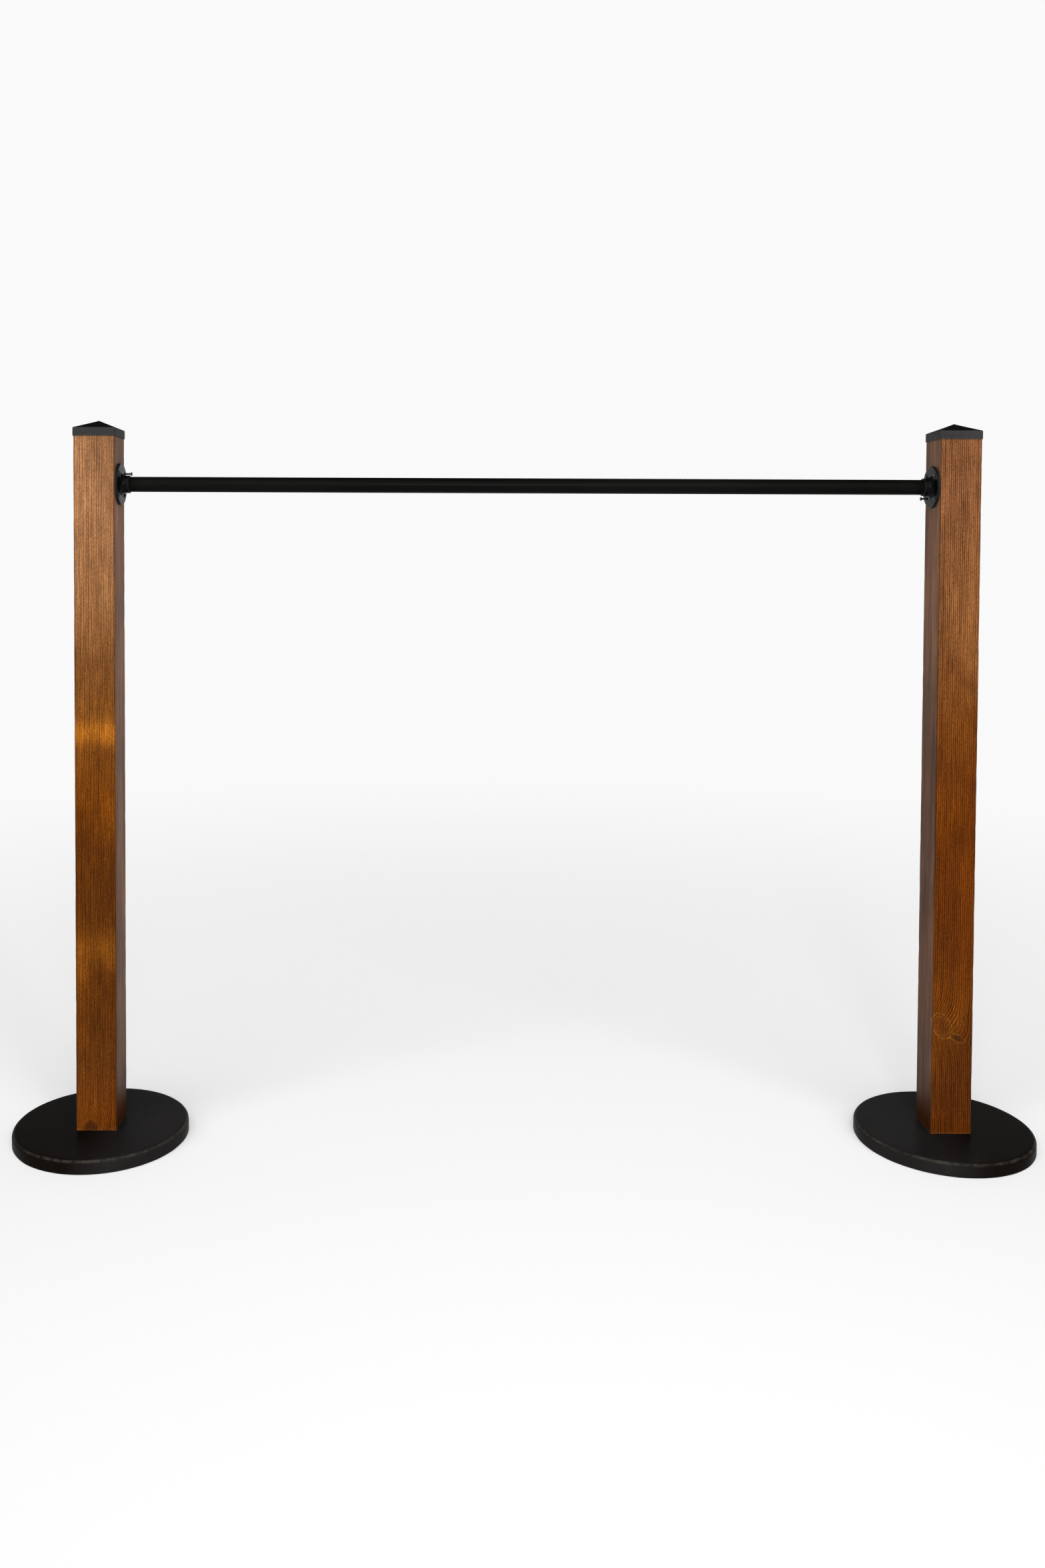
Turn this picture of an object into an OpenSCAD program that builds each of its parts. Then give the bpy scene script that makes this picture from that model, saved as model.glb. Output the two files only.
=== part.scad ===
// Free-standing post-and-rail stand: two square timber posts on round timber
// bases, joined near the top by a steel pipe screwed into two cast flanges.
// X runs along the rail, Y is front to back, Z is up from the floor.
// The origin is on the floor, midway between the posts.

/* [Posts] */
// Side of the square timber post
post_w = 89; // [88:1:100]
// Height of the cap's lower edge above the floor
cap_edge_z = 1545; // [1530:1:1800]
// Radius of the post's eased long edges
post_edge_r = 2; // [1:0.5:4]

/* [Rail] */
// Clear distance between the posts
rail_gap = 1780; // [1200:10:2400]
// Height of the rail's axis above the floor
rail_z = 1443; // [1100:1:1460]
// Outside diameter of the pipe
pipe_d = 33.4; // [33:0.1:34]
// Wall thickness of the pipe
pipe_wall = 3.4; // [2.6:0.1:4]

/* [Bases] */
// Diameter of the round base
base_d = 381; // [340:1:450]
// Thickness of the round base
base_t = 30; // [26:1:40]
// Radius of the rounded upper rim
rim_r = 9; // [6:1:11]

/* [Caps] */
// Height of the cap's straight skirt
skirt_h = 19; // [17:1:26]
// Rise of the cap's pyramid above its skirt
pyramid_h = 17; // [10:1:30]
// Thickness of the cap's sheet steel
sheet_t = 1.5; // [1:0.1:2]

/* [Flanges] */
// Diameter of the flange's plate
flange_d = 92; // [90:1:98]
// Thickness of the flange's plate
plate_t = 6; // [5:0.5:8]
// Height of the flange from the post to the hub's end
flange_h = 24; // [20:1:25]
// Diameter of the circle through the flange's screws
screw_pcd = 68; // [68:1:72]
// How far the loose screw of the left flange stands out from its seat
left_out = 14; // [0:1:20]
// How far the loose screw of the right flange stands out from its seat
right_out = 10; // [0:1:20]

/* [Hidden] */
$fn = 72;

left = -1;
right = 1;
slip = 0.05;                 // radial gap round everything that sits in a hole
cut = 1;                     // how far a cutting solid runs past the face that it opens

post_x = rail_gap/2 + post_w/2;
post_top = cap_edge_z + skirt_h - sheet_t;

base_r = base_d/2;
foot_r = 3;                  // rounding of the base's lower rim
rim_fn = 180;

lag_r = 4;                   // lag screws that hold the base to the post from below
lag_len = 90;
lag_point = 8;
lag_head_af = 13;            // across the flats of the hexagon
lag_head_h = 5.3;
lag_off = 24;                // distance from the post's axis along X and Y
washer_r = 11;
washer_t = 2;
recess_r = 12.5;             // recess that hides a washer and a head
recess_h = 11;
lag_seat_z = recess_h - washer_t;

cap_gap = 0.4;               // between the post and the cap's skirt
cap_in_w = post_w + 2*cap_gap;
cap_out_w = cap_in_w + 2*sheet_t;
cap_corner_r = 4;
cap_shoulder = 1;            // step in from the skirt to the foot of the roof
apex_r = 3;
nail_r = 1.1;
nail_head_r = 2;
nail_head_t = 1.2;
nail_len = 22;
nail_point = 3;
nail_up = 7.6;               // above the skirt's lower edge
nail_sink = 0.3;             // depth of the head below the skirt's face
nail_z = cap_edge_z + nail_up;

pipe_r = pipe_d/2;
thread_r = pipe_r - 0.25;    // crest of the pipe thread
thread_root_r = thread_r - 1.2;
thread_pitch = 2.31;
thread_turns = 10;
thread_len = thread_turns*thread_pitch;
chamfer = 0.6;               // where the thread runs out into the plain pipe
pipe_clear = 3;              // from the post's face to the pipe's end
pipe_len = rail_gap - 2*pipe_clear;

flange_r = flange_d/2;
flange_bore_r = thread_r + slip;
hub_r = 19.5;
hub_fillet = 9.5;
hub_edge = 1.5;
plate_edge = 2;
flange_fn = 120;

screw_r = 2.5;
screw_head_r = 4.35;
screw_head_h = 3;
screw_dome = 1.5;            // no more than half of the head's height
screw_len = 45;
screw_point = 7;
screw_off = screw_pcd/2*cos(45);
cross_w = 1.1;
cross_l = 5;
cross_depth = 1.6;

// Corners of a square, as signs along its two directions.
corners = [[-1, -1], [-1, 1], [1, 1], [1, -1]];

// The loose screw is the upper back one on the left and the lower back one on the right.
function loose_corner(side) = [1, -side];
function loose_out(side) = side == left ? left_out : right_out;

// ---- shared shapes ------------------------------------------------------------

module rounded_square(w, r) {
    square([w - 2*r, w], center = true);
    square([w, w - 2*r], center = true);
    for (c = corners)
        translate([c[0]*(w/2 - r), c[1]*(w/2 - r)]) circle(r);
}

// Rectangle in the first quadrant with its outer upper corner rounded.
module edge_rounded(w, h, r) {
    square([w - r, h]);
    square([w, h - r]);
    translate([w - r, h - r]) circle(r);
}

// Concave filling of an inside corner at the origin.
module fillet(r) {
    difference() {
        square(r);
        translate([r, r]) circle(r);
    }
}

// Puts children at one post's axis.
module at_post(side) translate([side*post_x, 0, 0]) children();

// Puts children on a post's inner face, with +Z along the rail and away from the post.
module at_flange(side)
    translate([side*rail_gap/2, 0, rail_z]) rotate([0, -side*90, 0]) children();

// Puts children at one hole of a flange; c holds the signs of its place, back and up.
module at_hole(side, c)
    translate([side*c[1]*screw_off, c[0]*screw_off, 0]) children();

// Puts children at each lag screw of a base.
module at_lags(side)
    at_post(side) for (c = corners) translate([c[0]*lag_off, c[1]*lag_off, 0]) children();

// Puts children on a cap's two nailed sides, with +Z into the post.
module at_nails(side, from_axis)
    at_post(side) for (s = [left, right])
        translate([s*from_axis, 0, nail_z]) rotate([0, -s*90, 0]) children();

// ---- bases --------------------------------------------------------------------

// What the rounding of the base's lower rim takes off.
module foot_cut() {
    translate([base_r - foot_r, 0]) difference() {
        translate([0, -cut]) square([foot_r + cut, foot_r + cut]);
        translate([0, foot_r]) circle(foot_r);
    }
}

module base(side) {
    color("#1d1815") difference() {
        at_post(side) rotate_extrude($fn = rim_fn) difference() {
            edge_rounded(base_r, base_t, rim_r);
            foot_cut();
        }
        at_lags(side) {
            translate([0, 0, -cut]) cylinder(r = lag_r + slip, h = base_t + 2*cut);
            translate([0, 0, -cut]) cylinder(r = recess_r, h = recess_h + cut);
        }
    }
}

module base_lags(side) {
    color("#9a9ca0") at_lags(side) {
        translate([0, 0, lag_seat_z - lag_head_h])
            cylinder(r = lag_head_af/2/cos(30), h = lag_head_h, $fn = 6);
        translate([0, 0, lag_seat_z - cut]) cylinder(r = lag_r, h = lag_len - lag_point + cut);
        translate([0, 0, lag_seat_z + lag_len - lag_point])
            cylinder(r1 = lag_r, r2 = 0.8, h = lag_point);
    }
}

module base_washers(side) {
    color("#a4a6a9") at_lags(side) translate([0, 0, lag_seat_z])
        difference() {
            cylinder(r = washer_r, h = washer_t);
            translate([0, 0, -cut]) cylinder(r = lag_r + slip, h = washer_t + 2*cut);
        }
}

// ---- posts and caps -----------------------------------------------------------

module post(side) {
    color("#9a5f2c") difference() {
        at_post(side) translate([0, 0, base_t])
            linear_extrude(post_top - base_t) rounded_square(post_w, post_edge_r);
        // pilot holes for the lag screws
        at_lags(side) translate([0, 0, base_t - cut])
            cylinder(r = lag_r + slip, h = lag_seat_z + lag_len - base_t + 2*cut);
        // pilot holes for the flange's screws
        at_flange(side) for (c = corners)
            at_hole(side, c) translate([0, 0, plate_t - screw_len - cut])
                cylinder(r = screw_r + slip, h = screw_len - plate_t + 2*cut);
        // pilot holes for the cap's nails
        at_nails(side, post_w/2 + cut) cylinder(r = nail_r + slip, h = nail_len + 2*cut);
    }
}

// Pyramid with a blunt tip over a rounded square.
module roof(w, corner, rise) {
    hull() {
        linear_extrude(0.5) rounded_square(w, corner, $fn = 32);
        translate([0, 0, rise - 0.8]) cylinder(r1 = apex_r, r2 = apex_r/2, h = 0.8, $fn = 32);
    }
}

module cap(side) {
    color("#26262a") difference() {
        at_post(side) translate([0, 0, cap_edge_z]) difference() {
            union() {
                linear_extrude(skirt_h) rounded_square(cap_out_w, cap_corner_r);
                translate([0, 0, skirt_h])
                    roof(cap_out_w - 2*cap_shoulder, cap_corner_r - cap_shoulder, pyramid_h);
            }
            translate([0, 0, -cut]) linear_extrude(skirt_h - sheet_t + cut)
                rounded_square(cap_in_w, cap_corner_r - sheet_t);
            translate([0, 0, skirt_h - sheet_t - 0.01])
                roof(cap_in_w - 2*cap_shoulder, cap_corner_r - sheet_t - cap_shoulder, pyramid_h);
        }
        at_nails(side, cap_out_w/2 + cut) cylinder(r = nail_head_r + slip, h = sheet_t + 2*cut);
    }
}

module cap_nails(side) {
    color("#111113") at_nails(side, cap_out_w/2 - nail_sink) {
        cylinder(r = nail_head_r, h = nail_head_t);
        cylinder(r = nail_r, h = nail_len - nail_point);
        translate([0, 0, nail_len - nail_point])
            cylinder(r1 = nail_r, r2 = 0.2, h = nail_point);
    }
}

// ---- rail and flanges -----------------------------------------------------------

// Three points of one V ridge of the thread, as radius and distance from the pipe's end.
function ridge(i) = [
    [thread_root_r, i*thread_pitch],
    [thread_r, (i + 0.45)*thread_pitch],
    [thread_r, (i + 0.55)*thread_pitch]];

module threaded_end() {
    outline = concat(
        [[pipe_r - pipe_wall, 0]],
        [for (i = [0 : thread_turns - 1]) each ridge(i)],
        [[thread_root_r, thread_len], [pipe_r - chamfer, thread_len + chamfer],
         [pipe_r - chamfer, thread_len + cut], [pipe_r - pipe_wall, thread_len + cut]]);
    rotate_extrude() polygon(outline);
}

module rail_pipe() {
    plain = pipe_len - 2*(thread_len + cut);
    color("#161616") translate([-pipe_len/2, 0, rail_z]) rotate([0, 90, 0]) {
        threaded_end();
        translate([0, 0, thread_len + cut]) difference() {
            cylinder(r = pipe_r, h = plain);
            translate([0, 0, -cut]) cylinder(r = pipe_r - pipe_wall, h = plain + 2*cut);
        }
        translate([0, 0, pipe_len]) mirror([0, 0, 1]) threaded_end();
    }
}

module flange_profile() {
    difference() {
        union() {
            edge_rounded(flange_r, plate_t, plate_edge);
            edge_rounded(hub_r, flange_h, hub_edge);
            translate([hub_r, plate_t]) fillet(hub_fillet);
        }
        translate([0, -cut]) square([flange_bore_r, flange_h + 2*cut]);
    }
}

module flange(side) {
    color("#0d0d0e") at_flange(side) difference() {
        rotate_extrude($fn = flange_fn) flange_profile();
        for (c = corners)
            at_hole(side, c) translate([0, 0, -cut])
                cylinder(r = screw_r + slip, h = plate_t + 2*cut);
    }
}

// Pan-head wood screw: its head sits on z = 0 and its point is below.
module flange_screw() {
    difference() {
        union() {
            rotate_extrude() edge_rounded(screw_head_r, screw_head_h, screw_dome);
            translate([0, 0, screw_point - screw_len])
                cylinder(r = screw_r, h = screw_len - screw_point + 0.5);
            translate([0, 0, -screw_len]) cylinder(r1 = 0.4, r2 = screw_r, h = screw_point);
        }
        for (a = [0, 90])
            rotate(a) translate([-cross_l/2, -cross_w/2, screw_head_h - cross_depth])
                cube([cross_l, cross_w, cross_depth + cut]);
    }
}

module flange_screws(side) {
    color("#17171a") at_flange(side) for (c = corners)
        if (c != loose_corner(side))
            at_hole(side, c) translate([0, 0, plate_t]) flange_screw();
}

module loose_screw(side) {
    color("#1b1b1e") at_flange(side) at_hole(side, loose_corner(side))
        translate([0, 0, plate_t + loose_out(side)]) flange_screw();
}

// ---- nodes --------------------------------------------------------------------------

base(left);  // left_base
base_lags(left);  // left_base_lags
base_washers(left);  // left_base_washers
post(left);  // left_post
cap(left);  // left_cap
cap_nails(left);  // left_cap_nails
flange(left);  // left_flange
flange_screws(left);  // left_flange_screws
loose_screw(left);  // left_loose_screw
base(right);  // right_base
base_lags(right);  // right_base_lags
base_washers(right);  // right_base_washers
post(right);  // right_post
cap(right);  // right_cap
cap_nails(right);  // right_cap_nails
flange(right);  // right_flange
flange_screws(right);  // right_flange_screws
loose_screw(right);  // right_loose_screw
rail_pipe();
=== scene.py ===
"""Looks for the post-and-rail stand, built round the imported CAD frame. Metres throughout."""

import math

import bmesh
import bpy
from mathutils import Matrix, Vector, noise


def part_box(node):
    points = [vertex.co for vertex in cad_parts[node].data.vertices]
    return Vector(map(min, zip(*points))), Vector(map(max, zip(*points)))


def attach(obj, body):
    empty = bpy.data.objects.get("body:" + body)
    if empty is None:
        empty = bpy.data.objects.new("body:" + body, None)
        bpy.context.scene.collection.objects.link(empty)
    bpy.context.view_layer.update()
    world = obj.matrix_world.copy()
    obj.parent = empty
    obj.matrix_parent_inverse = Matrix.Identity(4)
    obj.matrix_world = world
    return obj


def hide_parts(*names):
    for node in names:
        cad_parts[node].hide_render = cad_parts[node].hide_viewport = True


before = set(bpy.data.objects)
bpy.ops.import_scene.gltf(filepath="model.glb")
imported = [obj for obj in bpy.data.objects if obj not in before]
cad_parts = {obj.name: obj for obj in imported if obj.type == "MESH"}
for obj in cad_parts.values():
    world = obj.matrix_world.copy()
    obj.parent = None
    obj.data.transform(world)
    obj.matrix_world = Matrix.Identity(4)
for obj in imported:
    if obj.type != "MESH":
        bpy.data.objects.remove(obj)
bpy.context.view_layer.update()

MM = 0.001
SIDES = {"left": -1, "right": 1}
SHARP = math.radians(40)               # edges that bend more than this aren't shaded smooth
SHARP_WHEN_CUT = math.radians(35)      # the same, on pieces with something cut out of them

scene = bpy.context.scene
scene.view_settings.view_transform = "Standard"


# ---- camera -----------------------------------------------------------------

def make_camera():
    """A look from slightly left of centre, from a little under the rail, tilted slightly down."""
    data = bpy.data.cameras.new("camera")
    data.sensor_width = 36
    data.lens = 30.0
    data.shift_x = 0.051
    data.shift_y = -0.1189
    data.clip_start = 0.05
    data.clip_end = 60
    camera = bpy.data.objects.new("camera", data)
    pitch, roll = 0.0311, 0.00392
    turn = Matrix.Rotation(math.pi / 2 - pitch, 4, "X") @ Matrix.Rotation(roll, 4, "Z")
    camera.matrix_world = Matrix.Translation((-0.182, -2.865, 1.287)) @ turn
    scene.collection.objects.link(camera)
    scene.camera = camera


make_camera()


# ---- node helpers -----------------------------------------------------------

class Graph:
    """Short calls for building a tree of shader nodes."""

    def __init__(self, tree):
        self.tree = tree

    def node(self, kind, **settings):
        made = self.tree.nodes.new(kind)
        for key, value in settings.items():
            setattr(made, key, value)
        return made

    def feed(self, socket, value):
        """Links a socket to another node's output, or sets it to a constant."""
        if isinstance(value, bpy.types.NodeSocket):
            self.tree.links.new(value, socket)
        else:
            socket.default_value = value

    def math(self, operation, a, b=0.0, c=0.0, clamp=False):
        made = self.node("ShaderNodeMath", operation=operation, use_clamp=clamp)
        for socket, value in zip(made.inputs, (a, b, c)):
            self.feed(socket, value)
        return made.outputs[0]

    def split(self, vector):
        """The x, y and z of a vector."""
        made = self.node("ShaderNodeSeparateXYZ")
        self.feed(made.inputs[0], vector)
        return made.outputs

    def length(self, vector):
        made = self.node("ShaderNodeVectorMath", operation="LENGTH")
        self.feed(made.inputs[0], vector)
        return made.outputs["Value"]

    def fade(self, value, start, end, first=0.0, last=1.0):
        """Goes smoothly from first to last as the value goes from start to end."""
        made = self.node("ShaderNodeMapRange", interpolation_type="SMOOTHSTEP")
        self.feed(made.inputs["Value"], value)
        for key, level in (("From Min", start), ("From Max", end), ("To Min", first), ("To Max", last)):
            self.feed(made.inputs[key], level)
        return made.outputs[0]

    def ramp(self, value, *stops):
        """Colour ramp; each stop is (position, grey or colour)."""
        made = self.node("ShaderNodeValToRGB")
        self.feed(made.inputs[0], value)
        points = made.color_ramp.elements
        while len(points) < len(stops):
            points.new(0.5)
        for point, (position, colour) in zip(points, stops):
            point.position = position
            point.color = (colour,) * 3 + (1,) if isinstance(colour, float) else (*colour, 1)
        return made.outputs["Color"]

    def mix(self, factor, a, b, blend="MIX"):
        made = self.node("ShaderNodeMix", data_type="RGBA", blend_type=blend)
        self.feed(made.inputs[0], factor)
        for socket, value in ((made.inputs[6], a), (made.inputs[7], b)):
            self.feed(socket, (*value, 1) if isinstance(value, tuple) else value)
        return made.outputs[2]

    def vary(self, amount, colour, factor, low, high):
        """Multiplies a colour by low to high as the factor goes from 0 to 1."""
        return self.mix(amount, colour, self.mix(factor, low, high), "MULTIPLY")


class Material(Graph):
    """A material's nodes, with the row frame's coordinates in place and its shader in shader."""

    coat_roughness = 0.08

    def __init__(self, name):
        self.material = bpy.data.materials.new(name)
        self.material.use_nodes = True
        super().__init__(self.material.node_tree)
        self.shader = self.tree.nodes["Principled BSDF"]
        self.place = self.node("ShaderNodeTexCoord").outputs["Object"]

    def scaled(self, scale, shift=(0, 0, 0)):
        made = self.node("ShaderNodeMapping")
        self.feed(made.inputs["Vector"], self.place)
        made.inputs["Scale"].default_value = scale
        made.inputs["Location"].default_value = shift
        return made.outputs[0]

    def noise(self, vector, scale, detail, rough=0.55, distortion=0.0):
        made = self.node("ShaderNodeTexNoise")
        self.feed(made.inputs["Vector"], vector)
        made.inputs["Scale"].default_value = scale
        made.inputs["Detail"].default_value = detail
        made.inputs["Roughness"].default_value = rough
        made.inputs["Distortion"].default_value = distortion
        return made.outputs["Fac"]

    def facing(self):
        """The x, y and z of the surface's normal."""
        return self.split(self.node("ShaderNodeNewGeometry").outputs["True Normal"])

    def edge_wear(self, low=0.5, high=0.58):
        """White on sharp convex edges, from the mesh's pointiness."""
        point = self.node("ShaderNodeNewGeometry").outputs["Pointiness"]
        return self.ramp(point, (low, 0.0), (high, 1.0))

    def bump(self, height, strength, distance, before=None):
        made = self.node("ShaderNodeBump")
        made.inputs["Strength"].default_value = strength
        made.inputs["Distance"].default_value = distance
        self.feed(made.inputs["Height"], height)
        if before:
            self.feed(made.inputs["Normal"], before)
        return made.outputs[0]

    def finish(self, colour, roughness, normal=None, specular=0.5, coat=0.0):
        shader = self.shader.inputs
        self.feed(shader["Base Color"], colour)
        self.feed(shader["Roughness"], roughness)
        shader["Specular IOR Level"].default_value = specular
        shader["Coat Weight"].default_value = coat
        shader["Coat Roughness"].default_value = self.coat_roughness
        if normal:
            self.feed(shader["Normal"], normal)
        return self.material


# ---- mesh helpers -------------------------------------------------------------

def mesh_object(name, mesh_maker):
    """An object whose mesh is filled by a function that takes a bmesh."""
    bm = bmesh.new()
    mesh_maker(bm)
    bmesh.ops.recalc_face_normals(bm, faces=bm.faces)
    mesh = bpy.data.meshes.new(name)
    bm.to_mesh(mesh)
    bm.free()
    made = bpy.data.objects.new(name, mesh)
    scene.collection.objects.link(made)
    return made


def add_piece(name, mesh_maker, material, node, body="stand"):
    """Makes a piece, rides it on a body and lets it stand for a CAD node."""
    piece = mesh_object(name, mesh_maker)
    piece.data.materials.append(material)
    piece.data.shade_smooth()
    piece.data.set_sharp_from_angle(angle=SHARP)
    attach(piece, body)
    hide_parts(node)
    return piece


def subtract(piece, cutters):
    """Cuts the bmesh-made cutters out of a piece and applies the result."""
    made = []
    for maker in cutters:
        cutter = mesh_object("cutter", maker)
        made.append(cutter)
        cut = piece.modifiers.new("cut", "BOOLEAN")
        cut.operation = "DIFFERENCE"
        cut.solver = "EXACT"
        cut.object = cutter
    bpy.context.view_layer.update()
    result = bpy.data.meshes.new_from_object(piece.evaluated_get(bpy.context.evaluated_depsgraph_get()))
    piece.modifiers.clear()
    piece.data = result
    for cutter in made:
        bpy.data.objects.remove(cutter)
    result.set_sharp_from_angle(angle=SHARP_WHEN_CUT)


def arc(cx, cy, r, start, end, steps):
    """Points of an arc, as (radius, height) pairs; angles in degrees."""
    angles = [math.radians(start + (end - start) * i / steps) for i in range(steps + 1)]
    return [(cx + r * math.cos(a), cy + r * math.sin(a)) for a in angles]


def join(bm, low, high):
    """Quads between two rings of vertices."""
    for i in range(len(low)):
        j = (i + 1) % len(low)
        bm.faces.new((low[i], low[j], high[j], high[i]))


def revolve(bm, outline, steps, place, shape=None, closed=False):
    """Turns an outline of (radius, height) about +Z in steps, then moves it by the place matrix.
    shape(r, z, angle) may change the radius. A closed outline makes a ring, an open one is capped."""
    rings = []
    for r, z in outline:
        ring = []
        for i in range(steps):
            a = 2 * math.pi * i / steps
            rr = shape(r, z, a) if shape else r
            ring.append(bm.verts.new(place @ Vector((rr * math.cos(a), rr * math.sin(a), z))))
        rings.append(ring)
    for low, high in zip(rings, rings[1:] + rings[:1] if closed else rings[1:]):
        join(bm, low, high)
    if not closed:
        bm.faces.new(rings[0])
        bm.faces.new(rings[-1])


def loft(bm, rings):
    """Joins rings of points with quads and closes both ends."""
    made = [[bm.verts.new(p) for p in ring] for ring in rings]
    for low, high in zip(made, made[1:]):
        join(bm, low, high)
    bm.faces.new(made[0])
    bm.faces.new(made[-1])


def rounded_square(w, r, steps):
    """Points round a rounded square of side w, centred on the origin."""
    points = []
    for k, (sx, sy) in enumerate(((1, 1), (-1, 1), (-1, -1), (1, -1))):
        for x, y in arc(0, 0, r, 90 * k, 90 * k + 90, steps):
            points.append((sx * (w / 2 - r) + x, sy * (w / 2 - r) + y))
    return points


def dense_square(w, r, steps=5, flats=10):
    """A rounded square with extra points along its flat sides."""
    corners = rounded_square(w, r, steps)
    points = []
    for i, here in enumerate(corners):
        points.append(here)
        there = corners[(i + 1) % len(corners)]
        if (i + 1) % (steps + 1) == 0:
            for k in range(1, flats):
                t = k / flats
                points.append((here[0] + (there[0] - here[0]) * t, here[1] + (there[1] - here[1]) * t))
    return points


# ---- measures -------------------------------------------------------------------

# read from the frame
low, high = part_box("left_post")
POST_W = high.x - low.x
POST_X = abs(low.x + high.x) / 2
POST_LOW, POST_TOP = low.z, high.z
FACE_X = POST_X - POST_W / 2
low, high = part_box("rail_pipe")
RAIL_Z = (low.z + high.z) / 2
PIPE_R = (high.z - low.z) / 2
PIPE_END = high.x
low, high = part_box("left_base")
BASE_R, BASE_T = (high.x - low.x) / 2, high.z
low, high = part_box("left_cap")
CAP_W, CAP_EDGE, CAP_TOP = high.y - low.y, low.z, high.z
low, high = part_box("left_flange")
FLANGE_R, FLANGE_H = (high.z - low.z) / 2, high.x - low.x

# the same as in the part, where no box gives them
SKIRT_H = 19 * MM
CAP_SHEET = 1.5 * MM
PLATE_T = 6 * MM
SCREW_CIRCLE_R = 34 * MM
SCREW_HEAD_R, SCREW_HEAD_H = 4.35 * MM, 3 * MM


def at_flange(side):
    """Matrix of a flange: +Z runs along the rail, away from the post; +Y is to the back."""
    s = SIDES[side]
    turn = Matrix.Rotation(-s * math.pi / 2, 4, "Y")
    return Matrix.Translation((s * FACE_X, 0, RAIL_Z)) @ turn


# ---- wood ----------------------------------------------------------------------

TONE_HEIGHT = 1.6      # the height at which a tone's position is 1
# painted reflection: the colour of the lighter bands across the posts
PAINTED_REFLECTION_BAND = (0.44, 0.15, 0.012)
KNOT_RIM = (0.42, 0.16, 0.014)
KNOT_EYE = (0.035, 0.011, 0.003)
ARRIS_DARK = (0.035, 0.016, 0.008)
CHIPPED = (0.36, 0.17, 0.06)
# painted shade on the faces that look along the rail, at its darkest at the foot
FLANK_SHADE_LOW = (0.045, 0.013, 0.003)


def bell(g, value, steepness):
    """1 where the value is 0, falling away on both sides."""
    return g.math("EXPONENT", g.math("MULTIPLY", g.math("POWER", value, 2.0), -steepness))


def grow_knots(g, knots, axis_x, across, wobble, seed):
    """Knots push the grain lines aside. Gives the moved lines, the dark eyes and the pale broken rims."""
    breaks = g.ramp(g.noise(g.scaled((1, 1, 1), (seed, 1, 4)), 130, 2), (0.36, 0.2), (0.56, 1.0))
    eyes = rims = 0.0
    for kx, ky, kz, wide, tall, tilt, eye_tone, rim_tone in knots:
        local = g.node("ShaderNodeMapping", vector_type="TEXTURE")
        g.feed(local.inputs["Vector"], g.place)
        local.inputs["Location"].default_value = (axis_x + kx, ky, kz)
        local.inputs["Rotation"].default_value = (0, math.radians(tilt), 0)
        local.inputs["Scale"].default_value = (wide, wide, tall)
        near = g.math("SUBTRACT", g.length(local.outputs[0]), 0.3)
        near = g.math("MULTIPLY_ADD", wobble, 0.6, near)
        across = g.math("MULTIPLY_ADD", bell(g, near, 0.4), wide * 1.15, across)
        eye = g.math("MULTIPLY", g.ramp(near, (0.55, 1.0), (0.98, 0.0)), eye_tone)
        edge = g.math("MULTIPLY", g.ramp(near, (0.78, 0.0), (0.88, 1.0), (0.98, 0.0)), rim_tone)
        eyes = g.math("MAXIMUM", eyes, g.math("MAXIMUM", eye, edge))
        rim = g.ramp(near, (0.3, 0.0), (0.85, 0.15), (0.97, 1.0), (1.1, 0.0))
        rim = g.math("MULTIPLY", g.math("MULTIPLY", rim, rim_tone), breaks)
        rims = g.math("MAXIMUM", rims, rim)
    return across, eyes, rims


def stain_with_painted_sheen(g, z, blotch, stain_and_sheen_tones, reflection_bands):
    """Stain with painted sheen and painted reflections: duller and lighter near the top as painted sheen,
    deep and saturated below, with lighter bands across as painted reflections.
    """
    rise = g.math("MULTIPLY_ADD", blotch, 0.24, g.math("SUBTRACT", z, 0.12))
    # painted sheen: colour by height, lighter and duller towards the top
    colour = g.ramp(g.math("DIVIDE", rise, TONE_HEIGHT), *stain_and_sheen_tones)
    soft = g.math("MULTIPLY_ADD", blotch, 0.1, g.math("SUBTRACT", z, 0.05))
    for middle, half, strength in reflection_bands:
        # painted reflection: a lighter band across the face at each listed height
        glow = bell(g, g.math("DIVIDE", g.math("SUBTRACT", soft, middle), half), 1.0)
        colour = g.mix(g.math("MULTIPLY", glow, strength), colour, PAINTED_REFLECTION_BAND)
    return colour


def flank_painted_shade(g, z, broad, hair, seed):
    """The faces that look along the rail get a painted shade and a cool painted reflection: darker and
    cooler, darkest at the foot.
    """
    # painted reflection: a cool, greyer colour for the faces that look along the rail
    painted_cool_reflection = g.mix(broad, (0.09, 0.037, 0.019), (0.2, 0.096, 0.05))
    sweep = g.noise(g.scaled((1, 1, 1), (seed, 9, 0)), 2.6, 3)
    painted_cool_reflection = g.mix(1.0, painted_cool_reflection, g.ramp(sweep, (0.35, 0.55), (0.65, 1.35)), "MULTIPLY")
    painted_cool_reflection = g.vary(0.6, painted_cool_reflection, hair, (0.6, 0.6, 0.6), (1.3, 1.3, 1.3))
    above = g.ramp(g.math("DIVIDE", z, TONE_HEIGHT), (0.03, 0.0), (0.11, 1.0))
    return g.mix(above, FLANK_SHADE_LOW, painted_cool_reflection)


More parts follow.
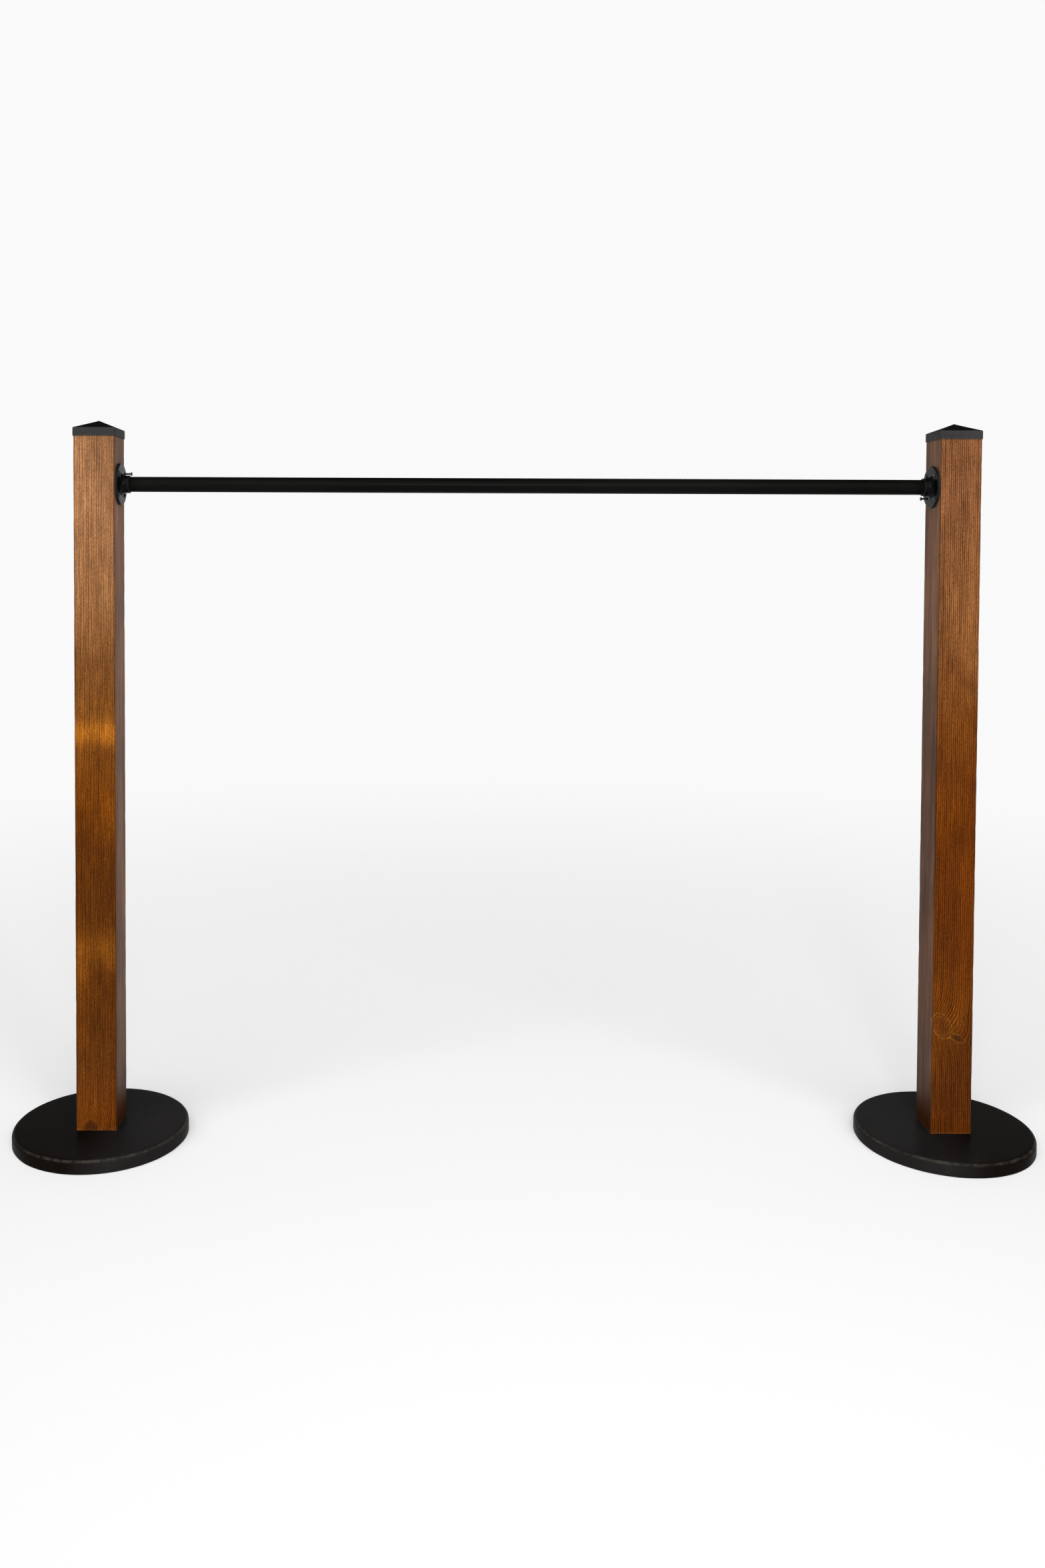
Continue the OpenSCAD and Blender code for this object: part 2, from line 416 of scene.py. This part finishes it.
def pine(name, axis_x, spacing, knots, stain_and_sheen_tones, reflection_bands, seed):
    """Stained softwood. Grain lines, a spacing apart, run up the post and bend round the knots.
    A knot is (x, y, z, half width, half height, tilt in degrees, strength of its eye, of its rim),
    with x from the post's axis.
    A tone is (height over TONE_HEIGHT, colour), the lighter, duller tones near the top being painted sheen,
    and a band is a lighter band of painted reflection, (height, half height, strength)."""
    g = Material(name)
    x, y, z = g.split(g.place)
    x = g.math("SUBTRACT", x, axis_x)

    # grain lines: distance across the post, wandering slowly with height
    drift = g.noise(g.scaled((1.5, 1.5, 1), (seed, 0, 0)), 2.2, 2)
    fine_drift = g.noise(g.scaled((3, 3, 1), (seed, 5, 0)), 9, 2)
    across = g.math("ADD", x, g.math("MULTIPLY", y, 0.83))
    across = g.math("MULTIPLY_ADD", drift, 0.008, across)
    across = g.math("MULTIPLY_ADD", fine_drift, 0.0012, across)
    across, eyes, rims = grow_knots(g, knots, axis_x, across, fine_drift, seed)

    # each line is a year's growth, pale then dark, and some lines are fainter than others
    count = g.math("DIVIDE", across, spacing)
    line_id = g.node("ShaderNodeTexWhiteNoise", noise_dimensions="1D")
    g.feed(line_id.inputs["W"], g.math("FLOOR", count))
    strength = g.math("MULTIPLY_ADD", line_id.outputs["Value"], 0.6, 0.55)
    year = g.math("FRACT", count)
    late = g.ramp(year, (0.0, 0.3), (0.14, 0.0), (0.5, 0.05), (0.72, 0.8), (0.9, 1.0), (1.0, 0.3))
    late = g.math("MULTIPLY", late, strength, clamp=True)

    # fibres, pores, broad streaks and clouds of stain
    hair = g.ramp(g.noise(g.scaled((1, 1, 0.025)), 760, 3, 0.65), (0.38, 0.0), (0.62, 1.0))
    fleck = g.ramp(g.noise(g.scaled((1, 1, 0.3), (seed, 0, 0)), 560, 3, 0.75), (0.42, 0.0), (0.6, 1.0))
    broad = g.ramp(g.noise(g.scaled((1, 1, 0.07), (0, seed, 0)), 46, 3, 0.6), (0.35, 0.0), (0.65, 1.0))
    blotch = g.noise(g.scaled((1, 1, 0.5), (seed, seed, 0)), 8, 4, 0.6, 0.4)
    cloud = g.ramp(blotch, (0.36, 0.0), (0.66, 1.0))

    # stain colour with a painted sheen near the top and bands of painted reflection
    colour = stain_with_painted_sheen(g, z, blotch, stain_and_sheen_tones, reflection_bands)
    colour = g.vary(0.8, colour, cloud, (0.64, 0.6, 0.56), (1.24, 1.24, 1.22))
    colour = g.vary(0.3, colour, broad, (0.74, 0.7, 0.66), (1.22, 1.22, 1.2))
    colour = g.vary(0.95, colour, late, (1.36, 1.36, 1.34), (0.27, 0.22, 0.17))
    colour = g.vary(0.5, colour, hair, (0.4, 0.36, 0.32), (1.62, 1.62, 1.62))
    colour = g.vary(0.42, colour, fleck, (0.42, 0.38, 0.34), (1.55, 1.55, 1.55))
    # painted shade and reflection on the faces that look along the rail
    flank_shade_mask = g.math("POWER", g.math("ABSOLUTE", g.facing()[0]), 3.0)
    colour = g.mix(g.math("MULTIPLY", flank_shade_mask, 0.85), colour, flank_painted_shade(g, z, broad, hair, seed))
    colour = g.mix(g.math("MULTIPLY", rims, 0.65), colour, KNOT_RIM)
    colour = g.mix(g.math("MULTIPLY", eyes, 0.8), colour, KNOT_EYE)

    # the post's long edges are darker, and chipped where they are sharpest
    inset_x = g.math("SUBTRACT", POST_W / 2, g.math("ABSOLUTE", x))
    inset_y = g.math("SUBTRACT", POST_W / 2, g.math("ABSOLUTE", y))
    inset_cm = g.math("MULTIPLY", g.math("MAXIMUM", inset_x, inset_y), 100)
    arris = g.ramp(inset_cm, (0.08, 1.0), (0.32, 0.0))
    colour = g.mix(g.math("MULTIPLY", arris, 0.6), colour, ARRIS_DARK)
    chip = g.math("MULTIPLY", g.edge_wear(0.515, 0.6), g.math("MULTIPLY", fleck, 0.35))
    colour = g.mix(chip, colour, CHIPPED)

    relief = g.math("SUBTRACT", g.math("MULTIPLY", late, 0.7), g.math("MULTIPLY", hair, 0.4))
    normal = g.bump(relief, 0.35, 0.0003)
    normal = g.bump(fleck, 0.2, 0.00012, normal)
    gloss = g.math("MULTIPLY_ADD", late, -0.1, g.math("MULTIPLY_ADD", blotch, 0.14, 0.42))
    return g.finish(colour, gloss, normal, specular=0.04)


# the lighter, duller tones near the top are painted sheen; the bands are painted reflections
LEFT_PINE = pine(
    "left_pine", -POST_X, spacing=0.0036, seed=2.0,
    knots=[(-0.012, -0.045, BASE_T + 0.004, 0.02, 0.021, 0, 0.9, 0.25),
           (0.042, -0.045, 0.93, 0.004, 0.012, 20, 0.1, 0.9),
           (0.042, -0.045, 0.955, 0.003, 0.007, -15, 0.1, 0.9)],
    stain_and_sheen_tones=[(0.03, (0.14, 0.038, 0.003)), (0.12, (0.09, 0.026, 0.002)),
           (0.24, (0.095, 0.027, 0.001)), (0.37, (0.083, 0.023, 0.001)),
           (0.46, (0.15, 0.041, 0.001)), (0.6, (0.15, 0.053, 0.008)),
           (0.76, (0.2, 0.09, 0.034)), (0.9, (0.24, 0.115, 0.052))],
    reflection_bands=[(0.9, 0.026, 0.6), (0.416, 0.04, 0.25)])
RIGHT_PINE = pine(
    "right_pine", POST_X, spacing=0.0044, seed=9.0,
    knots=[(-0.023, -0.046, 0.268, 0.021, 0.032, -25, 0.3, 0.8),
           (0.011, -0.046, 0.241, 0.009, 0.017, -62, 1.0, 0.9),
           (-0.014, -0.046, 0.46, 0.005, 0.009, 10, 0.8, 0.3),
           (0.024, -0.046, 0.285, 0.004, 0.009, 30, 0.8, 0.2)],
    stain_and_sheen_tones=[(0.05, (0.09, 0.023, 0.002)), (0.14, (0.086, 0.023, 0.001)),
           (0.21, (0.1, 0.026, 0.001)), (0.3, (0.083, 0.019, 0.0004)),
           (0.45, (0.1, 0.024, 0.0004)), (0.6, (0.105, 0.03, 0.003)),
           (0.7, (0.145, 0.055, 0.015)), (0.9, (0.175, 0.07, 0.027))],
    reflection_bands=[])


# ---- paint and metal -------------------------------------------------------------

def base_paint():
    """Black-brown paint brushed over a turned wooden disc, rubbed along its rim, with a painted highlight
    along the rim.
    The half of each disc that is away from the stand's middle is darker and browner, and the inner half
    lighter and greyer: painted reflections."""
    g = Material("base_paint")
    brush = g.noise(g.scaled((1, 0.06, 1)), 260, 4, 0.6)
    cloud = g.noise(g.place, 9, 4, 0.6, 0.3)
    speck = g.noise(g.place, 420, 2, 0.6)

    patch = g.ramp(cloud, (0.35, 0.0), (0.7, 1.0))
    # painted reflection: the inner half lighter and greyer, the outer half darker and browner
    inner = g.mix(patch, (0.0125, 0.0115, 0.0112), (0.0175, 0.016, 0.0156))
    outer = g.mix(patch, (0.0028, 0.0018, 0.0012), (0.0055, 0.0036, 0.0026))
    from_axis = g.math("SUBTRACT", g.math("ABSOLUTE", g.split(g.place)[0]), POST_X)
    outward = g.math("MULTIPLY_ADD", g.math("DIVIDE", from_axis, BASE_R), 0.5, 0.5)
    colour = g.mix(g.ramp(outward, (0.35, 0.0), (0.6, 1.0)), inner, outer)

    # rubbed paint and a painted highlight round the rounded rim, in patches
    rim = g.ramp(g.facing()[2], (0.35, 0.0), (0.62, 1.0), (0.86, 1.0), (0.97, 0.0))
    chips = g.ramp(g.noise(g.place, 60, 5, 0.75), (0.4, 0.1), (0.66, 1.0))
    patches = g.ramp(g.noise(g.place, 5.0, 2), (0.3, 0.25), (0.6, 1.0))
    wear_and_highlight = g.math("MULTIPLY", g.math("MULTIPLY", rim, chips), patches)
    colour = g.mix(g.math("MULTIPLY", wear_and_highlight, 0.4), colour, (0.13, 0.11, 0.09))

    gloss = g.math("MULTIPLY_ADD", cloud, 0.2, 0.24)
    gloss = g.math("MULTIPLY_ADD", speck, 0.08, gloss)
    normal = g.bump(brush, 0.22, 0.00025)
    normal = g.bump(speck, 0.3, 0.0001, normal)
    normal = g.bump(cloud, 0.2, 0.0015, normal)
    return g.finish(colour, gloss, normal, specular=0.01)


def metal(name, dark, light, rough, specular=0.5, scale=(1, 1, 1), dust=0.3, coat=0.0,
          grain=0.00006, roof_painted_shade=None):
    """Painted or plated metal: mottled from dark to light, fine grit, rubbed edges.
    dust is how strongly the edges are rubbed, and the last argument is a painted shade: a dark colour for
    faces that look up, in place of the dark sky they would reflect."""
    g = Material(name)
    cloud = g.noise(g.scaled(scale), 14, 4)
    colour = g.mix(g.ramp(cloud, (0.35, 0.0), (0.7, 1.0)), dark, light)
    rubbed = tuple(3.2 * c + 0.03 for c in light)
    colour = g.mix(g.math("MULTIPLY", g.edge_wear(), dust), colour, rubbed)
    if roof_painted_shade:
        # painted shade: faces that look up take the dark roof colour, for the dark sky they would reflect
        colour = g.mix(g.ramp(g.facing()[2], (0.45, 0.0), (0.85, 1.0)), colour, roof_painted_shade)
    spread = 0.22
    gloss = g.math("MULTIPLY_ADD", cloud, spread, rough - spread / 2, clamp=True)
    normal = g.bump(g.noise(g.place, 900, 2), 0.35, grain)
    normal = g.bump(cloud, 0.2, 0.0006, normal)
    return g.finish(colour, gloss, normal, specular, coat)


BASE_PAINT = base_paint()
# the cap's roof colour is a painted shade, near black
CAP_STEEL = metal("cap_steel", (0.018, 0.0175, 0.0178), (0.029, 0.028, 0.0285), 0.55,
                  specular=0.03, grain=0.00009, roof_painted_shade=(0.0035, 0.003, 0.003))
BLACK_PIPE = metal("black_pipe", (0.0018, 0.0017, 0.0015), (0.0042, 0.004, 0.0037), 0.36,
                   specular=0.025, scale=(0.12, 1, 1), dust=0.1)
CAST_BLACK = metal("cast_black", (0.0018, 0.0017, 0.0017), (0.0035, 0.0034, 0.0033), 0.24,
                   specular=0.04, dust=0.5, coat=0.01, grain=0.00012)
SCREW_BLACK = metal("screw_black", (0.003, 0.003, 0.0033), (0.006, 0.006, 0.0065), 0.16,
                    specular=0.6, dust=0.5)
# black nail heads, made near black and nearly unreflecting as a painted shade of the holes they sit in
NAIL_BLACK_PAINTED_SHADE = metal("nail_black_painted_shade", (0.0006, 0.0006, 0.0006), (0.0012, 0.0012, 0.0012), 0.6,
                   specular=0.02, dust=0.0)
ZINC = metal("zinc_steel", (0.34, 0.35, 0.36), (0.46, 0.46, 0.45), 0.4, dust=0.2)


# ---- posts ---------------------------------------------------------------------

def post_mesh(side):
    """A planed post with eased, slightly uneven edges."""
    cx = SIDES[side] * POST_X
    edge, steps = 2.6 * MM, 240
    corner_from = POST_W / 2 - 1.2 * edge
    rings = []
    for k in range(steps + 1):
        z = POST_LOW + (POST_TOP - POST_LOW) * k / steps
        ring = []
        for x, y in dense_square(POST_W, edge):
            corner = abs(x) > corner_from and abs(y) > corner_from
            nick = noise.noise(Vector((cx * 9 + x * 90, y * 90, z * 34)))
            ease = 0.55 * MM * max(0.0, nick) if corner else 0.0
            flat = 0.12 * MM * (1 + noise.noise(Vector((x * 30, y * 30, z * 5 + cx))))
            pull = 1 - (ease + flat) / (POST_W / 2)
            ring.append((cx + x * pull, y * pull, z))
        rings.append(ring)
    return lambda bm: loft(bm, rings)


# ---- bases -----------------------------------------------------------------------

def base_mesh(side):
    """A disc with a hand-rounded rim."""
    rim, foot, inmost = 9 * MM, 3 * MM, 20 * MM
    rim_from = BASE_R * 0.9
    outline = [(inmost, 0), (BASE_R * 0.5, 0), (rim_from, 0)]
    outline += arc(BASE_R - foot, foot, foot, -90, 0, 6)
    outline += arc(BASE_R - rim, BASE_T - rim, rim, 0, 90, 14)
    outline += [(rim_from, BASE_T), (BASE_R * 0.6, BASE_T), (inmost, BASE_T)]
    cx = SIDES[side] * POST_X

    def uneven(r, z, a):
        rub = noise.noise(Vector((math.cos(a) * 6 + cx * 5, math.sin(a) * 6, z * 40)))
        outer = max(0.0, (r - rim_from) / (0.1 * BASE_R))
        return r - 0.5 * MM * outer * (1 + rub)

    return lambda bm: revolve(bm, outline, 288, Matrix.Translation((cx, 0, 0)), uneven)


def base_recesses(side):
    """Cutters for the four recesses and lag holes, where the CAD's washers are."""
    low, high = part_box(side + "_base_washers")
    washer_r, recess_r, hole_r = 11 * MM, 12.5 * MM, 4.05 * MM
    past, overlap = 2 * MM, 1 * MM
    drilled = [[(recess_r, -past), (recess_r, high.z)],
               [(hole_r, high.z - overlap), (hole_r, BASE_T + past)]]
    cutters = []
    for x in (low.x + washer_r, high.x - washer_r):
        for y in (low.y + washer_r, high.y - washer_r):
            place = Matrix.Translation((x, y, 0))
            cutters += [lambda bm, o=outline, p=place: revolve(bm, o, 40, p) for outline in drilled]
    return cutters


# ---- caps ------------------------------------------------------------------------

def cap_rings(cx, skin):
    """Rings from the skirt's lower edge to the tip; skin is how far in from the outside."""
    width = CAP_W - 2 * skin
    corner = 5.5 * MM - skin
    shoulder = 2.6 * MM
    skirt_top = CAP_EDGE + SKIRT_H - skin
    rings = []

    def ring(w, r, z):
        rings.append([(cx + x, y, z) for x, y in rounded_square(w, max(r, 0.4 * MM), 6)])

    # the skirt; the hollow reaches past its lower edge, so that the cap is cut open there
    foot = CAP_EDGE - (2 * MM if skin else 0.0)
    for z in (foot, CAP_EDGE + 0.6 * MM, CAP_EDGE + 6 * MM, skirt_top - shoulder):
        ring(width, corner, z)

    # the bend from the skirt into the slope
    slope = math.degrees(math.atan2(CAP_TOP - CAP_EDGE - SKIRT_H, CAP_W / 2))
    bend = arc(0, skirt_top - shoulder, shoulder, 0, 90 - slope, 5)[1:]
    for inset, z in bend:
        ring(width - 2 * (shoulder - inset), corner - 0.3 * (shoulder - inset), z)
    inset, slope_z = bend[-1]
    slope_w = width - 2 * (shoulder - inset)

    # the slope, whose corners grow round towards the blunt tip
    tip_w, tip_drop, tip_z = 7 * MM, 0.9 * MM, CAP_TOP - skin
    for t in (0.2, 0.5, 0.8, 0.93):
        w = slope_w + (tip_w - slope_w) * t
        ring(w, corner + (tip_w / 2 - corner) * t ** 3, slope_z + (tip_z - tip_drop - slope_z) * t)
    for w, drop in ((7.0, 0.9), (5.2, 0.45), (3.0, 0.12), (1.0, 0.0)):
        ring(w * MM, w * MM * 0.49, tip_z - drop * MM)
    return rings


def cap_mesh(side):
    """The closed outer form; the hollow is cut out of it afterwards."""
    rings = cap_rings(SIDES[side] * POST_X, 0.0)
    return lambda bm: loft(bm, rings)


def cap_cutters(side):
    """The hollow inside the cap, and the two nail holes."""
    cx = SIDES[side] * POST_X
    hollow = cap_rings(cx, CAP_SHEET)
    low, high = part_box(side + "_cap_nails")
    hole_r, reach = 2.3 * MM, 4 * MM
    z = (low.z + high.z) / 2

    def hole(s):
        place = Matrix.Translation((cx + s * CAP_W / 2, 0, z)) @ Matrix.Rotation(math.pi / 2, 4, "Y")
        return lambda bm: revolve(bm, [(hole_r, -reach), (hole_r, reach)], 32, place)

    return [lambda bm: loft(bm, hollow), hole(-1), hole(1)]


# ---- flanges -----------------------------------------------------------------------

def flange_mesh(side):
    """Cast flange: plate with a soft rim, a filleted hub and a beaded hub end."""
    hub, flare, bore = 19.5 * MM, 9.5 * MM, 16.5 * MM
    rim, bead, chamfer = 2.2 * MM, 1.4 * MM, 0.8 * MM
    outline = [(bore, 0), (FLANGE_R - chamfer, 0), (FLANGE_R, chamfer)]
    outline += arc(FLANGE_R - rim, PLATE_T - rim, rim, 0, 90, 8)
    # two more rings across the plate's flat, so that its faces stay short
    outline += [(38.5 * MM, PLATE_T), (30 * MM, PLATE_T)]
    outline += arc(hub + flare, PLATE_T + flare, flare, 270, 180, 12)
    outline += [(hub, FLANGE_H - 3 * MM)]
    outline += arc(hub - bead, FLANGE_H - bead, bead, 0, 90, 6)
    outline += [(bore + chamfer, FLANGE_H), (bore, FLANGE_H - chamfer)]

    def cast(r, z, a):
        lump = noise.noise(Vector((math.cos(a) * 4 * r / FLANGE_R, math.sin(a) * 4 * r / FLANGE_R, z * 60)))
        return r if r < bore + 2 * MM else r - 0.22 * MM * (1 + lump)

    return lambda bm: revolve(bm, outline, 144, at_flange(side), cast, closed=True)


def screw_spots(side):
    """Matrices of the four screw seats of a flange, by (back, up), each 1 or -1."""
    off = SCREW_CIRCLE_R * math.cos(math.pi / 4)
    spots = {}
    for back in (-1, 1):
        for up in (-1, 1):
            seat = Matrix.Translation((SIDES[side] * up * off, back * off, PLATE_T))
            spots[(back, up)] = at_flange(side) @ seat
    return spots


def flange_holes(side):
    """Screw holes with a shallow countersink each."""
    hole_r = 2.55 * MM
    outline = [(hole_r, -8 * MM), (hole_r, -0.6 * MM), (3.3 * MM, 0.2 * MM)]
    return [lambda bm, p=p: revolve(bm, outline, 32, p) for p in screw_spots(side).values()]


def screw_mesh(places):
    """Pan-head screws with a domed head, a rolled thread and a point."""
    shank, point, length, steps = 2.5 * MM, 7 * MM, 45 * MM, 170
    pitch, depth, plain = 1.9 * MM, 0.55 * MM, 1.2 * MM
    lift, brim = 0.06 * MM, 0.9 * MM      # lift keeps a driven head just clear of its flange

    def thread(r, z, a):
        if z > -plain:
            return r
        phase = (z / pitch - a / (2 * math.pi)) % 1
        ridge = max(0.0, 1 - abs(phase - 0.5) / 0.32)
        return max(0.3 * MM, r - depth * (1 - ridge))

    outline = [(0.4 * MM, -length)]
    for k in range(1, steps + 1):
        z = -length + length * k / steps
        outline.append((shank * min(1.0, 0.2 + 0.8 * (z + length) / point), z))
    outline += [(SCREW_HEAD_R - 0.25 * MM, lift), (SCREW_HEAD_R, 0.3 * MM), (SCREW_HEAD_R, brim)]
    for t in (math.radians(d) for d in (15, 30, 45, 60, 74, 86)):
        outline.append((SCREW_HEAD_R * math.cos(t), brim + (SCREW_HEAD_H - brim) * math.sin(t)))

    def make(bm):
        for place in places:
            revolve(bm, outline, 32, place, lambda r, z, a: thread(r, z, a) if z < 0 else r)

    return make


def cross_cutters(places):
    """Cross recesses in the heads, each stopped at an angle of its own."""
    slot_length, slot_width, slot_depth = 4.6 * MM, 1.0 * MM, 1.6 * MM
    size = Matrix.Diagonal((slot_length, slot_width, 2 * slot_depth, 1))
    top = Matrix.Translation((0, 0, SCREW_HEAD_H))
    makers = []
    for number, place in enumerate(places):
        twist = Matrix.Rotation(0.5 + 1.1 * number, 4, "Z")
        for quarter in (0, math.pi / 2):
            turn = place @ twist @ Matrix.Rotation(quarter, 4, "Z") @ top
            makers.append(lambda bm, m=turn @ size: bmesh.ops.create_cube(bm, size=1, matrix=m))
    return makers


# ---- rail ----------------------------------------------------------------------------

def pipe_mesh(bm):
    """Steel pipe with threaded ends and a faint weld line along its back."""
    wall, thread_len, pitch, thread_depth = 3.4 * MM, 23.1 * MM, 2.31 * MM, 1.2 * MM
    seam_at, seam_width = 1.2, 0.05      # radians
    steps = 60
    inner = PIPE_R - wall
    end = [(PIPE_R - 0.25 * MM, -PIPE_END + thread_len * k / steps) for k in range(steps + 1)]
    shoulder = -PIPE_END + thread_len + 1.4 * MM
    end += [(PIPE_R - 0.6 * MM, -PIPE_END + thread_len + 0.6 * MM), (PIPE_R, shoulder)]
    outline = end + [(PIPE_R, shoulder * (1 - 2 * k / steps)) for k in range(1, steps)]
    outline += [(r, -z) for r, z in reversed(end)]
    outline += [(inner, PIPE_END), (inner, 0), (inner, -PIPE_END)]

    def shape(r, z, a):
        if r <= inner + 0.1 * MM:
            return inner
        if PIPE_END - abs(z) < thread_len:
            phase = (z / pitch - a / (2 * math.pi)) % 1
            return r - thread_depth * abs(2 * phase - 1)
        seam = math.exp(-((a - seam_at) / seam_width) ** 2)
        wave = 0.06 * MM * (1 + noise.noise(Vector((math.cos(a) * 2, math.sin(a) * 2, z * 6))))
        return r - 0.12 * MM + 0.1 * MM * seam - wave * 0.5

    place = Matrix.Translation((0, 0, RAIL_Z)) @ Matrix.Rotation(math.pi / 2, 4, "Y")
    revolve(bm, outline, 96, place, shape, closed=True)


# ---- putting it together ------------------------------------------------------------------

LOOSE = {"left": (1, 1), "right": (1, -1)}      # the backed-out screw's (back, up)
WOOD = {"left": LEFT_PINE, "right": RIGHT_PINE}

# these keep the part's own meshes and are only painted
CAD_PARTS = {"_cap_nails": NAIL_BLACK_PAINTED_SHADE, "_base_lags": ZINC, "_base_washers": ZINC}

for side in SIDES:
    post = add_piece(side + "_post_timber", post_mesh(side), WOOD[side], side + "_post")

    base = add_piece(side + "_base_disc", base_mesh(side), BASE_PAINT, side + "_base")
    subtract(base, base_recesses(side))

    cap = add_piece(side + "_cap_shell", cap_mesh(side), CAP_STEEL, side + "_cap")
    subtract(cap, cap_cutters(side))

    flange = add_piece(side + "_flange_casting", flange_mesh(side), CAST_BLACK, side + "_flange")
    subtract(flange, flange_holes(side))

    spots = screw_spots(side)
    driven = [place for key, place in spots.items() if key != LOOSE[side]]
    screws = add_piece(side + "_driven_screws", screw_mesh(driven), SCREW_BLACK,
                       side + "_flange_screws")
    subtract(screws, cross_cutters(driven))

    low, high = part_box(side + "_loose_screw")
    head_far = max(FACE_X - abs(low.x), FACE_X - abs(high.x))
    out = head_far - (PLATE_T + SCREW_HEAD_H)
    spot = spots[LOOSE[side]] @ Matrix.Translation((0, 0, out))
    loose = add_piece(side + "_backed_out_screw", screw_mesh([spot]), SCREW_BLACK,
                      side + "_loose_screw", body=side + "_loose_screw_body")
    subtract(loose, cross_cutters([spot]))

    for part, material in CAD_PARTS.items():
        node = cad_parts[side + part]
        node.data.materials.clear()
        node.data.materials.append(material)

pipe = add_piece("rail_tube", pipe_mesh, BLACK_PIPE, "rail_pipe", body="rail")


# ---- studio -----------------------------------------------------------------------------

ROOM_LEVEL = 0.08
BACKDROP_LEVEL = 0.95
FLOOR_GLOW = 0.3
KEY_POWER, KEY_SPREAD = 3.4, math.radians(90)
RIM_POWER, RIM_SIZE = 14, 0.35


def floor_material():
    """Pale matt floor that turns into the glow of the backdrop away from the stand."""
    g = Material("studio_floor")
    away = g.fade(g.length(g.place), 1.0, 5.0)
    glow = g.math("MULTIPLY_ADD", away, BACKDROP_LEVEL - FLOOR_GLOW, FLOOR_GLOW)
    g.feed(g.shader.inputs["Emission Strength"], glow)
    g.feed(g.shader.inputs["Emission Color"], (1, 1, 1, 1))
    return g.finish(g.mix(away, (0.82, 0.82, 0.82), (0.0, 0.0, 0.0)), 0.9, specular=0.0)


def make_floor():
    """A floor out to the horizon, a hair below the bases."""
    def square(bm):
        bmesh.ops.create_grid(bm, x_segments=1, y_segments=1, size=400)

    floor = mesh_object("studio_floor", square)
    floor.data.materials.append(floor_material())
    floor.location.z = -0.5 * MM


def make_world():
    """A pale backdrop all round for the camera. The light it gives comes low from behind, and the
    rest of the room is dim."""
    world = bpy.data.worlds.new("studio")
    scene.world = world
    world.use_nodes = True
    g = Graph(world.node_tree)
    back = g.tree.nodes["Background"]

    way = g.split(g.node("ShaderNodeTexCoord").outputs["Generated"])
    near_floor = g.fade(way[2], 0.28, 0.42, 1.0, 0.0)
    behind = g.fade(way[1], 0.0, 0.5)
    level = g.node("ShaderNodeMapRange")
    g.feed(level.inputs["Value"], g.math("MULTIPLY", near_floor, behind))
    g.feed(level.inputs["To Min"], ROOM_LEVEL)
    g.feed(level.inputs["To Max"], BACKDROP_LEVEL)

    seen = g.node("ShaderNodeMix", data_type="FLOAT")
    g.feed(seen.inputs[0], g.node("ShaderNodeLightPath").outputs["Is Camera Ray"])
    g.feed(seen.inputs[2], level.outputs[0])
    g.feed(seen.inputs[3], BACKDROP_LEVEL)
    g.feed(back.inputs["Strength"], seen.outputs[0])
    g.feed(back.inputs["Color"], (1, 1, 1, 1))


def add_light(name, kind, way, power):
    """A light that shines the given way."""
    data = bpy.data.lights.new(name, kind)
    data.energy = power
    light = bpy.data.objects.new(name, data)
    light.rotation_euler = Vector(way).to_track_quat("-Z", "Y").to_euler()
    scene.collection.objects.link(light)
    return light


def rim_light(name, place, aim):
    """A small square light for the glints on the black parts."""
    light = add_light(name, "AREA", Vector(aim) - Vector(place), RIM_POWER)
    light.location = place
    light.data.shape = "RECTANGLE"
    light.data.size = light.data.size_y = RIM_SIZE


make_floor()
make_world()
sun = add_light("soft_key", "SUN", (0.1, 1.0, -0.5), KEY_POWER)
sun.data.angle = KEY_SPREAD
rim_light("rim_left", (-0.2, -2.6, 2.1), (-0.9, 0, 1.4))
rim_light("rim_right", (0.5, -2.6, 2.1), (0.9, 0, 1.4))
